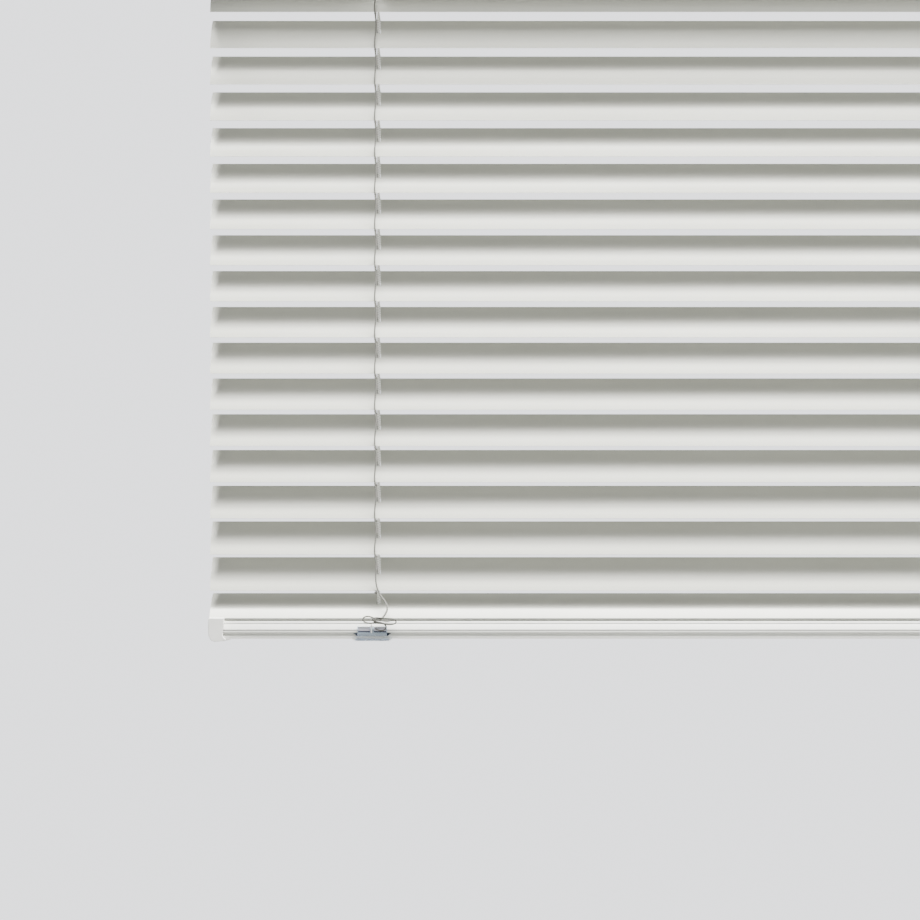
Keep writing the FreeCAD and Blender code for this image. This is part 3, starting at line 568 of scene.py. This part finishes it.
modify(strip, "SOLIDIFY", thickness=SHEET, offset=0)
ends = round_plate(SLAT_LENGTH, SLAT_WIDTH, CORNER, CUTTER_HEIGHT, (0, 0, 0))
modify(strip, "BOOLEAN", object=ends, operation="INTERSECT", solver="EXACT")
bpy.data.objects.remove(ends)
for side in (-1, 1):
    punch = round_plate(SLOT_LENGTH, SLOT_WIDTH, ROUND_END * SLOT_WIDTH, CUTTER_HEIGHT,
                        (side * cord_x, 0, 0))
    modify(strip, "BOOLEAN", object=punch, operation="DIFFERENCE", solver="EXACT")
    bpy.data.objects.remove(punch)
only(strip)
bpy.ops.object.shade_smooth_by_angle(angle=math.radians(30))
paint(strip, slat_enamel)
print("slat", len(strip.data.polygons), "faces")

# %% [markdown]
# ## All the slats
# The one slat is copied for each CAD slat, turned as that one is about its hinge's point, and rides on its
# body. An array modifier would be shorter, but its copies can't ride on different bodies. The hung slats
# are shut; the last one rests on the rail and leans less. Real slats are never quite alike, so each copy
# leans by a hair more or less, and the light catches them differently.

# %% Place the slats
CLOSED, LAST_ANGLE, WOBBLE = math.radians(54.0), math.radians(36.5), 0.35


def lean(name):
    """How far a slat is turned at rest."""
    return LAST_ANGLE if name == "slat_18" else CLOSED


for name in SLATS:
    slat = twin(strip, name + "_strip")
    wobble = random.uniform(-WOBBLE, WOBBLE)
    turn = Matrix.Rotation(lean(name) + math.radians(wobble), 4, "X")
    moved(slat, Matrix.Translation(pivots[name]) @ turn)
    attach(slat, name + "_body")
    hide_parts(name)
bpy.data.objects.remove(strip)
print("slats", len(SLATS), "shut at", round(math.degrees(CLOSED), 1), "degrees")

# %% [markdown]
# ## The ladders
# A ladder is two upright strings with thin threads between them, and each slat lies on one thread. The
# strings hang from the rockers in the headrail. A thread is knotted to the string at every slat and draws
# it aside there, so a straight tube would look like wire. The line sways once for each slat instead. The
# front strings rise as the slats turn over, so the straight one has a spare length that is hidden in its
# tail and in the rail until then.

# %% Strings
THREAD_SWELL, SWAY, STRING_STEP = 1.15, 0.45 * MM, 1.6 * MM
FOOT_LENGTH, FOOT_DRIFT, FRONT_RISE = 14 * MM, 2.2 * MM, 22 * MM
KNOT_PHASE, DEPTH_SWAY = 0.9, 0.2


def wavy(x, y, top, bottom, sway=SWAY, drift=0.0):
    """Points down a string, which bends at each knot, sways between them and drifts aside at its foot."""
    points = []
    steps = max(6, round((top - bottom) / STRING_STEP))
    for step in range(steps + 1):
        z = top + (bottom - top) * step / steps
        along = 2 * math.pi * (z - first.z) / pitch
        foot = max(0.0, 1 - (z - bottom) / FOOT_LENGTH)
        points.append((x + sway * math.sin(along + KNOT_PHASE) + drift * foot ** 2,
                       y + DEPTH_SWAY * sway * math.cos(along), z))
    return points


for side, end in ((-1, "left"), (1, "right")):
    for face, y, hook, rocker_end in (("front", front_y, front_hook, front_high.z),
                                      ("back", back_y, back_hook, back_high.z)):
        body = f"ladder_{face}_body"
        level = first.z + hook
        upper = thread(f"string_{face}_{end}_top", wavy(side * ladder_x, y, rocker_end, level),
                       THREAD_SWELL * string_radius, ladder_braid)
        drift = FOOT_DRIFT if (face, end) == ("front", "left") else 0.0
        spare = FRONT_RISE if (face, end) == ("front", "right") else 0.0
        lower = thread(f"string_{face}_{end}",
                       wavy(side * ladder_x, y, level, last_hung.z + hook - spare, drift=drift),
                       THREAD_SWELL * string_radius, ladder_braid)
        for string in (upper, lower):
            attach(string, body)
        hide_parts(f"ladder_{face}_strings")
        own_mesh(lower)
        print(lower.name, len(lower.data.polygons), "faces")

# %% [markdown]
# The cross threads go under the slat, from knot to knot. They turn with the slat, so they ride on its
# body. The knot is a loop of the thread round the string. A real one is only a lump at this size, so it is
# a small ring whose points are shaken a little.

# %% Cross threads and knots
THREAD_RADIUS, THREAD_SAG, THREAD_HOOK, UNDER_SLAT = 0.28 * MM, 0.5 * MM, 0.9 * MM, 0.42 * MM
REACH, KNOT_SIZE, UNDER_KNOT = 13.4 * MM, 0.55 * MM, 0.3 * MM
RING_SHARE, SHAKE, SHAKE_SEED = 0.62, 0.12, 3
THREAD_STEPS = 12
DIP = CROWN + SHEET / 2


def knot(name, place, size, material=None):
    """A lumpy little ring about something upright."""
    bpy.ops.object.select_all(action="DESELECT")
    bpy.ops.mesh.primitive_torus_add(location=place, major_radius=size, minor_radius=RING_SHARE * size,
                                     major_segments=12, minor_segments=6)
    ring = bpy.context.object
    bpy.ops.object.mode_set(mode="EDIT")
    bpy.ops.mesh.select_all(action="SELECT")
    bpy.ops.transform.vertex_random(offset=SHAKE * size, seed=SHAKE_SEED)
    bpy.ops.object.mode_set(mode="OBJECT")
    bpy.ops.object.shade_smooth()
    return paint(settle(ring, name), material or ladder_braid)


def cross_thread(name, side, end):
    """One thread under a slat, in the slat's own place and angle, with a knot at each string."""
    across = []
    for step in range(THREAD_STEPS + 1):
        share = step / THREAD_STEPS
        y = REACH * (2 * share - 1)
        bow_out = max(0.0, math.sin(math.pi * share))
        across.append((side * (ladder_x - THREAD_HOOK * bow_out ** 0.5), y,
                       -DIP - UNDER_SLAT - THREAD_SAG * bow_out))
    run = thread(f"{name}_thread_{end}", across, THREAD_RADIUS, ladder_braid, sides=6)
    matrix = Matrix.Translation(pivots[name]) @ Matrix.Rotation(lean(name), 4, "X")
    moved(run, matrix)
    knots = []
    for face in (-1, 1):
        place = matrix @ Vector((side * ladder_x, face * REACH, -DIP - UNDER_KNOT))
        knots.append(knot(f"{name}_knot_{end}_{'front' if face < 0 else 'back'}", place, KNOT_SIZE))
    for piece in (run, *knots):
        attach(piece, name + "_body")


for name in SLATS:
    for side, end in ((-1, "left"), (1, "right")):
        cross_thread(name, side, end)
print("cross threads", 2 * len(SLATS), "knots", 4 * len(SLATS))

# %% [markdown]
# ## The lift cords
# Each cord comes down through the slots in the slats to the bottom rail. It is a flat braid that twists,
# so it shows wide over one part and thin at its edge. A round tube is made first, because it is easy to
# lay along a line, and its points are then pushed out along a direction that turns with the height. As
# the rail rises the cord winds onto its spool; the share that stays hung is only printed here.

# %% Lift cords
lowest_travel = lift_travel - joints["slat_17_lift"]["range_m"][1]


def kept(height):
    """The share of a height above the rail that is left when the blind is up."""
    return (height - lowest_travel) / height


FLAT, THIN, CORD_SWAY, TWIST_START = 2.1, 0.8, 0.12 * MM, 4.2 * MM
rail_foot = rail_edge - 1.0 * MM


def lift_cord(name, x, top, bottom):
    """A flat braid down the slots, which turns half round at every slat."""
    cord = thread(name, wavy(x, 0, top, bottom, CORD_SWAY), cord_radius, lift_braid)
    for vertex in cord.data.vertices:
        turn = math.pi * (vertex.co.z - first.z - TWIST_START) / pitch
        across = Vector((math.cos(turn), math.sin(turn), 0))
        offset = Vector((vertex.co.x - x, vertex.co.y, 0))
        wide = offset.dot(across)
        vertex.co += (FLAT - 1) * wide * across + (THIN - 1) * (offset - wide * across)
    return cord


for side, end in ((-1, "left"), (1, "right")):
    hung = lift_cord(f"lift_cord_{end}", side * cord_x, first.z, last_hung.z)
    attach(hung, "headrail_body")
    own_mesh(hung)
    lowest = lift_cord(f"lift_cord_{end}_low", side * cord_x, last_hung.z, rail_foot)
    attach(lowest, "rail_body")
    kept(last_hung.z - rail_foot)
    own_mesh(lowest)
    if side < 0:
        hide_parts(*[f"lift_cord_bay_{count:02d}" for count in range(2, 18)])
        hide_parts("lift_cord_bottom")
    print(hung.name, "keeps", round(gathered, 3), "and its low end", round(kept(last_hung.z - rail_foot), 3))

# %% [markdown]
# ## The ladder's lower ends
# Below the last hung slat the strings run on to the rail. Three of them are drawn straight. The one in
# front on the left has come slack and looks double: it swings out to the right of its clip before it
# reaches the bow. A slack string has no straight part at all, so its line is one NURBS curve through a
# few guide points, given in millimetres from the rail's edge at the ladder. On the blind the front tails
# shorten as the rail rises, and the back ones as the slats turn over; here the share each keeps is only
# printed.

# %% Tails
SLACK = [(2.2, -6.1, 17.2), (3.2, -6.6, 15.0), (5.0, -7.6, 13.1), (6.7, -8.9, 10.3), (7.4, -10.2, 8.0),
         (6.9, -11.4, 5.9), (5.9, -12.6, 3.9), (4.1, -13.8, 1.6), (1.7, -14.6, 0.9), (-0.2, -14.9, 0.9)]
SLACK_SWELL, TAIL_SWAY, OVERLAP, BACK_KEEP = 1.45, 0.2 * MM, 0.2 * MM, 0.445
for side, end in ((-1, "left"), (1, "right")):
    for face, y, hook in (("front", front_y, front_hook), ("back", back_y, back_hook)):
        top, x = last_hung.z + hook, side * ladder_x
        points = wavy(x, y, top + OVERLAP, rail_edge, TAIL_SWAY)
        slack = (face, end) == ("front", "left")
        if slack:
            guide = [Vector((x, 0, rail_edge)) + MM * Vector(point) for point in SLACK]
            points = smooth_line(guide)
        swell = SLACK_SWELL if slack else THREAD_SWELL
        tail = thread(f"tail_{face}_{end}", points, swell * string_radius, ladder_braid)
        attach(tail, "rail_body")
        joint, share = ("lift", kept(top - rail_edge)) if face == "front" else ("tilt", BACK_KEEP)
        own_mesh(tail)
        print(tail.name, "keeps", round(share, 3))

# %% [markdown]
# ## The bottom rail
# The rail is a long rolled section: a bright sloping face between a rolled top edge and a small bead, a
# band that leans back under it, a lip, and a crown on top. The same section runs from end to end, so a
# block needn't be carved: a flat outline is drawn out to the rail's length. A fine bevel rounds the folds,
# because rolled sheet has no sharp ones. Outlines are in millimetres, the face's as depth and drop from
# the rail's top front edge.

# %% Rail section
RAIL_FACE = [(2.9, 0.0), (2.3, 0.12), (1.95, 0.5), (1.85, 1.3), (2.15, 1.5), (1.75, 1.75), (1.3, 2.4),
             (0.55, 4.0), (0.1, 4.9), (2.0, 5.1), (2.0, 5.5), (0.1, 5.65), (0.0, 5.9), (0.15, 6.2),
             (1.7, 6.35), (2.9, 7.2), (3.0, 7.8), (1.5, 8.4), (0.6, 9.2), (0.7, 9.9), (1.6, 10.3)]
RAIL_CROWN = [(9.2, -0.3), (8.2, 0.0), (6.0, 1.4), (3.0, 1.9), (0.0, 2.0), (-3.0, 1.9), (-6.0, 1.4),
              (-8.2, 0.0), (-9.2, -0.3)]
HALF_RAIL, FOLD = 13.0, 0.09 * MM


def drawn_out(name, corners, step, count=1, fold=0.0):
    """A flat outline extruded count times by step, with its folds rounded."""
    bpy.ops.object.select_all(action="DESELECT")
    bpy.ops.mesh.primitive_circle_add(vertices=len(corners), fill_type="NGON")
    solid = bpy.context.object
    for vertex, corner in zip(solid.data.vertices, corners):
        vertex.co = corner
    bpy.ops.object.mode_set(mode="EDIT")
    for _ in range(count):
        bpy.ops.mesh.extrude_region_move(TRANSFORM_OT_translate={"value": step})
    bpy.ops.mesh.select_all(action="SELECT")
    bpy.ops.mesh.normals_make_consistent(inside=False)
    bpy.ops.object.mode_set(mode="OBJECT")
    if fold:
        modify(solid, "BEVEL", width=fold, segments=2, limit_method="ANGLE", angle_limit=math.radians(18))
    only(solid)
    bpy.ops.object.shade_smooth_by_angle(angle=math.radians(35))
    return settle(solid, name)


section = [(-(HALF_RAIL - back), -down) for back, down in RAIL_FACE]
section += [(HALF_RAIL - back, -down) for back, down in reversed(RAIL_FACE)] + RAIL_CROWN
corners = [(rail_low.x, MM * y, rail_edge + MM * z) for y, z in section]
rail = drawn_out("rail_section", corners, (rail_high.x - rail_low.x, 0, 0), fold=FOLD)
paint(rail, rail_enamel)
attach(rail, "rail_body")
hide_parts("bottom_rail")
print("rail", len(rail.data.polygons), "faces")

# %% [markdown]
# Where a lift cord goes into the rail there is a little moulded grommet, so that the sheet can't cut it.
# It is a ring like the knots, only larger, so the same helper makes it.

# %% Grommets
GROMMET_SIZE, CROWN_HEIGHT = 1.7 * MM, 2.0 * MM
for side, end in ((-1, "left"), (1, "right")):
    place = (side * cord_x, 0, rail_edge + CROWN_HEIGHT)
    grommet = knot(f"grommet_{end}", place, GROMMET_SIZE, pale_plastic_and_rib_highlight)
    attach(grommet, "rail_body")
    print(grommet.name, len(grommet.data.polygons), "faces")

# %% [markdown]
# ## The rail's end caps
# A cap is one moulded cup: a plain face seen from the room, a large round corner low outside, and a toe
# that curls in under the rail. Its face is the shape that shows, so that outline is drawn out from front
# to back, in steps, and the steps' top points are raised in the middle over the rail's crown. A wide bevel
# gives it the soft edges of a moulding. The outline is in millimetres, in from the end and up.

# %% Caps
CAP_FACE = [(0.15, 0.5), (9.2, 0.5), (9.25, -3.4), (9.0, -6.0), (8.6, -8.0), (8.75, -9.6), (9.3, -11.0),
            (10.8, -12.1), (10.6, -12.6), (8.8, -13.2), (6.4, -13.5), (3.6, -13.5), (2.4, -13.1),
            (1.3, -12.1), (0.5, -10.4), (0.05, -8.2), (0.0, -5.0)]
CAP_STEPS, CAP_DROP, CAP_CROWN, CROWN_SHARE = 8, 13.6 * MM, 1.4 * MM, 0.75
TOP_REACH, CAP_EDGE = 0.1 * MM, 0.55 * MM
half_cap = cap_high.y
cap_edge = cap_low.z + CAP_DROP


def cap(side, end):
    """One end cap, with its top raised over the rail's crown."""
    corners = [(side * (cap_high.x - MM * x), -half_cap, cap_edge + MM * z) for x, z in CAP_FACE]
    piece = drawn_out(f"rail_cap_{end}", corners, (0, 2 * half_cap / CAP_STEPS, 0), CAP_STEPS)
    for vertex in piece.data.vertices:
        if vertex.co.z > cap_edge - TOP_REACH:
            vertex.co.z += CAP_CROWN * max(0.0, 1 - (vertex.co.y / (CROWN_SHARE * half_cap)) ** 2)
    modify(piece, "BEVEL", width=CAP_EDGE, segments=3, limit_method="ANGLE", angle_limit=math.radians(50))
    only(piece)
    bpy.ops.object.shade_smooth_by_angle(angle=math.radians(50))
    paint(piece, cap_plastic)
    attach(piece, "rail_body")
    return piece


caps = [cap(-1, "left"), cap(1, "right")]
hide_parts("bottom_rail_caps")
print("cap", len(caps[0].data.polygons), "faces")

# %% [markdown]
# ## The ladder clips
# A clear clip holds the ladder's ends under the rail. Its front has two windows with a rib between them, a
# thick band under those, a barb at each end, and a skirt that flares out below. One clear solid would be
# right in shape, but the edges of such plastic gather light or lose it in ways that few light paths find.
# So the windows' edges and the barbs are opaque dark pieces, which are painted shade, and the rib is a pale
# one, which is a painted highlight.

# %% Clips


def bar(low, high, rounding):
    """A block between two corners given in millimetres, with rounded edges."""
    low, high = Vector(low), Vector(high)
    bpy.ops.object.select_all(action="DESELECT")
    bpy.ops.mesh.primitive_cube_add(size=1, location=MM * (low + high) / 2, scale=MM * (high - low))
    block = bpy.context.object
    bpy.ops.object.transform_apply(location=True, rotation=True, scale=True)
    modify(block, "BEVEL", width=rounding * MM, segments=2)
    return block


def joined(name, pieces, material):
    """Several blocks made one piece."""
    only(*pieces)
    bpy.ops.object.join()
    whole = bpy.context.object
    bpy.ops.object.shade_smooth_by_angle(angle=math.radians(35))
    return paint(settle(whole, name), material)


def outline_bar(name, points, front, back, fold=0.12):
    """An upright outline of (x, z) in millimetres between two depths."""
    outline = [(MM * x, MM * front, MM * z) for x, z in points]
    return drawn_out(name, outline, (0, MM * (back - front), 0), fold=fold * MM)


SKIRT = [(-8.6, -8.3), (8.6, -8.3), (10.4, -8.9), (12.0, -9.3), (11.9, -10.1), (11.2, -10.9), (9.6, -11.4),
         (6.0, -11.6), (0.0, -11.5), (-6.0, -11.6), (-9.6, -11.4), (-11.2, -10.9), (-11.9, -10.1),
         (-12.0, -9.3), (-10.4, -8.9)]
BARB = [(8.7, -6.7), (10.0, -6.8), (11.4, -7.1), (9.9, -7.8), (8.9, -8.8), (8.7, -8.8)]
HALF_CLIP, HALF_BODY, WALL, HALF_PLATE, FACE_OUT, FACE_IN = 12.0 * MM, 8.8, 0.5, 10.0, 14.0, 13.1
RIB_LEFT, RIB_RIGHT, RIB_CORE, BAND_PROUD, RIB_PROUD = -1.3, 1.1, (-0.75, -0.1), 0.15, 0.25
PLATE, BAND, WINDOW, RIM, RIB = (-11.3, -10.45), (-8.6, -6.2), (-6.4, -2.9), (-3.25, -2.9), (-6.9, -1.7)
PANE, TOP_EDGE, FOOT_EDGE, WALL_TOP = (-6.1, -3.9), (-3.95, -3.4), (-6.5, -5.7), -3.1


def clip(side, end):
    """All of one clip, made about the rail's top front edge and then moved to its ladder."""
    clear_parts, skirt_parts, pane_parts, painted_shade_parts, rib_parts = [], [], [], [], []
    clear_parts.append(bar((-HALF_PLATE, -13.6, PLATE[0]), (HALF_PLATE, 13.6, PLATE[1]), 0.2))
    for face in (-1, 1):
        front, back = sorted((face * FACE_OUT, face * FACE_IN))
        proud = (front - BAND_PROUD, back) if face < 0 else (front, back + BAND_PROUD)
        wall = HALF_BODY - WALL
        clear_parts += [bar((-HALF_BODY, proud[0], BAND[0]), (HALF_BODY, proud[1], BAND[1]), 0.35),
                        bar((-HALF_BODY, front, WINDOW[0]), (-wall, back, WALL_TOP), 0.12),
                        bar((wall, front, WINDOW[0]), (HALF_BODY, back, WALL_TOP), 0.12),
                        bar((RIB_LEFT, front, WINDOW[0]), (RIB_RIGHT, back, WINDOW[1]), 0.2),
                        bar((-HALF_BODY, front, RIM[0]), (HALF_BODY, back, RIM[1]), 0.1)]
        skirt_parts.append(outline_bar("skirt", SKIRT, front + 0.1, back))
        # The rib's pale plastic is a painted highlight of light gathered in the clear clip.
        rib_parts.append(bar((RIB_CORE[0], front - RIB_PROUD, RIB[0]), (RIB_CORE[1], back, RIB[1]), 0.15))
        for way, inner, outer in ((-1, -wall, RIB_LEFT), (1, RIB_RIGHT, wall)):
            pane_parts.append(bar((inner, front + 0.35, PANE[0]), (outer, back - 0.2, PANE[1]), 0.1))
            # The window edges and barbs are dark pieces: painted shade.
            painted_shade_parts += [bar((inner, front + 0.1, TOP_EDGE[0]), (outer, back - 0.1, TOP_EDGE[1]), 0.1),
                           bar((inner, front + 0.1, FOOT_EDGE[0]), (outer, back - 0.1, FOOT_EDGE[1]), 0.1),
                           outline_bar("barb", [(way * x, z) for x, z in BARB], front + 0.2, back)]
    middle = clip_low.x + HALF_CLIP if side < 0 else clip_high.x - HALF_CLIP
    place = Matrix.Translation((middle, 0, rail_edge))
    made = [joined(f"clip_{end}_body", clear_parts, clip_plastic),
            joined(f"clip_{end}_skirt", skirt_parts, skirt_plastic),
            joined(f"clip_{end}_panes", pane_parts, pane_plastic),
            joined(f"clip_{end}_edges", painted_shade_parts, painted_shade_plastic),
            joined(f"clip_{end}_ribs", rib_parts, pale_plastic_and_rib_highlight)]
    for piece in made:
        moved(piece, place)
        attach(piece, "rail_body")
    return made


clips = clip(-1, "left") + clip(1, "right")
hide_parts("ladder_clips")
print("clip pieces", len(clips))

# %% [markdown]
# ## The carried-over CAD pieces
# The headrail, its brackets and the works inside are right as modelled, with their real folds, teeth and
# holes. Modelling them again would only risk a misfit, so they stay and get their finishes.

# %% Finishes for CAD nodes
FINISHES = {
    "rail_enamel": (headrail_enamel, ["headrail"]),
    "bracket_enamel": (bracket_enamel, ["mounting_bracket_left", "mounting_bracket_right",
                                        "bracket_gate_left", "bracket_gate_right"]),
    "end_cap": (cap_plastic, ["headrail_caps"]),
    "clear_wand": (wand_plastic, ["tilt_wand"]),
    "nylon": (nylon, ["drum_cradles", "tilter_housing", "tilter_worm", "wand_socket", "motor_housing",
                      "cord_spool_left", "cord_spool_right", "tilt_rockers", "tilt_gear"]),
    "steel": (rod_steel, ["tilt_rod"]),
    "spring_steel": (spring_steel, ["power_spring"]),
    "lift_braid": (lift_braid, ["lift_cord_top"]),
}
for slot, (material, names) in FINISHES.items():
    for name in names:
        node_object = frame["nodes"][name]
        node_object.data.materials.clear()
        node_object.data.materials.append(material)
    print(slot, len(names), "nodes")

# %% [markdown]
# ## The bow
# The ladder's spare cord is tied in a little bow over the clip. It is limp, so it has no straight runs and
# no two loops alike. Arcs and lines joined end to end would look like bent wire. Its line is one NURBS
# curve instead, whose points, in millimetres from the rail's edge at the ladder, are listed below. It
# starts where the cord leaves the clip.

# %% Bow of spare cord
BOW_ROUTE = [
    (0.2, -14.5, -4.3), (2.5, -14.9, -5.3), (5.0, -15.0, -5.4), (6.8, -14.8, -4.0),
    (6.4, -14.5, -2.0), (4.2, -14.1, -0.7), (1.6, -13.9, -0.5), (-0.4, -13.9, -0.1),
    (-1.5, -14.2, 0.9), (-0.6, -14.7, 2.0), (1.4, -14.9, 2.2), (4.2, -14.9, 1.9), (7.4, -14.6, 1.7),
    (10.2, -14.4, 1.6), (12.1, -14.4, 1.0), (12.7, -14.4, -0.3), (11.8, -14.5, -1.5), (9.0, -14.8, -1.9),
    (5.8, -15.4, -1.5),
    (2.8, -15.9, -0.9), (-0.2, -15.7, -0.7), (-3.2, -15.0, -1.0), (-6.0, -14.4, -0.5),
    (-7.4, -14.1, 1.1), (-6.2, -13.9, 2.8), (-3.6, -14.2, 3.1), (-1.0, -15.4, 2.2),
    (1.6, -16.3, 1.0), (4.4, -16.2, 0.3), (7.2, -15.9, 0.1), (9.9, -15.5, 0.5), (12.2, -15.1, 1.0),
]
BOW_DIAMETER, BOW_LENGTH = 0.8 * MM, 0.074
bow_place = Vector((-ladder_x, 0, rail_edge))
route = [bow_place + MM * Vector(point) for point in BOW_ROUTE]
curve = bpy.data.curves.new("bow", "CURVE")
curve.dimensions = "3D"
line = curve.splines.new("NURBS")
line.points.add(len(route) - 1)
for point, place in zip(line.points, route):
    point.co = (*place, 1)
line.order_u = 3
line.use_endpoint_u = True
line.resolution_u = 10
curve.bevel_depth = BOW_DIAMETER / 2
curve.bevel_resolution = 3
curve.use_fill_caps = True
bow = bpy.data.objects.new("bow", curve)
bpy.context.collection.objects.link(bow)
# The bow's darker braid is painted shade.
paint(bow, shaded_bow_braid)
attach(bow, "rail_body")
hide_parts("ladder_bow")
print("bow", len(line.points), "points")

# %% [markdown]
# A bow is held by the cord's own turns about its middle. Drawing them into the one line would need many
# more points in a few millimetres, so they are two small rings, each leaning its own way, joined as one
# piece that lies on the cord.

# %% The bow's knot
WRAPS = ((-0.5, 0.55, 78), (0.35, 0.4, 94))
WRAP_DEPTH, WRAP_SIZE, WRAP_THICK, WRAP_SQUEEZE = -15.0, 1.35 * MM, 0.42 * MM, (1.0, 0.95, 1.0)
wraps = []
for x, z, slant in WRAPS:
    bpy.ops.mesh.primitive_torus_add(location=bow_place + MM * Vector((x, WRAP_DEPTH, z)),
                                     rotation=(0, math.radians(slant), 0), major_radius=WRAP_SIZE,
                                     minor_radius=WRAP_THICK, major_segments=20, minor_segments=8)
    wrap = bpy.context.object
    wrap.scale = WRAP_SQUEEZE
    wraps.append(wrap)
# The knot's darker braid is painted shade.
bow_knot = joined("bow_knot", wraps, shaded_bow_braid)
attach(bow_knot, "rail_body")
print("bow_knot", len(bow_knot.data.polygons), "faces")
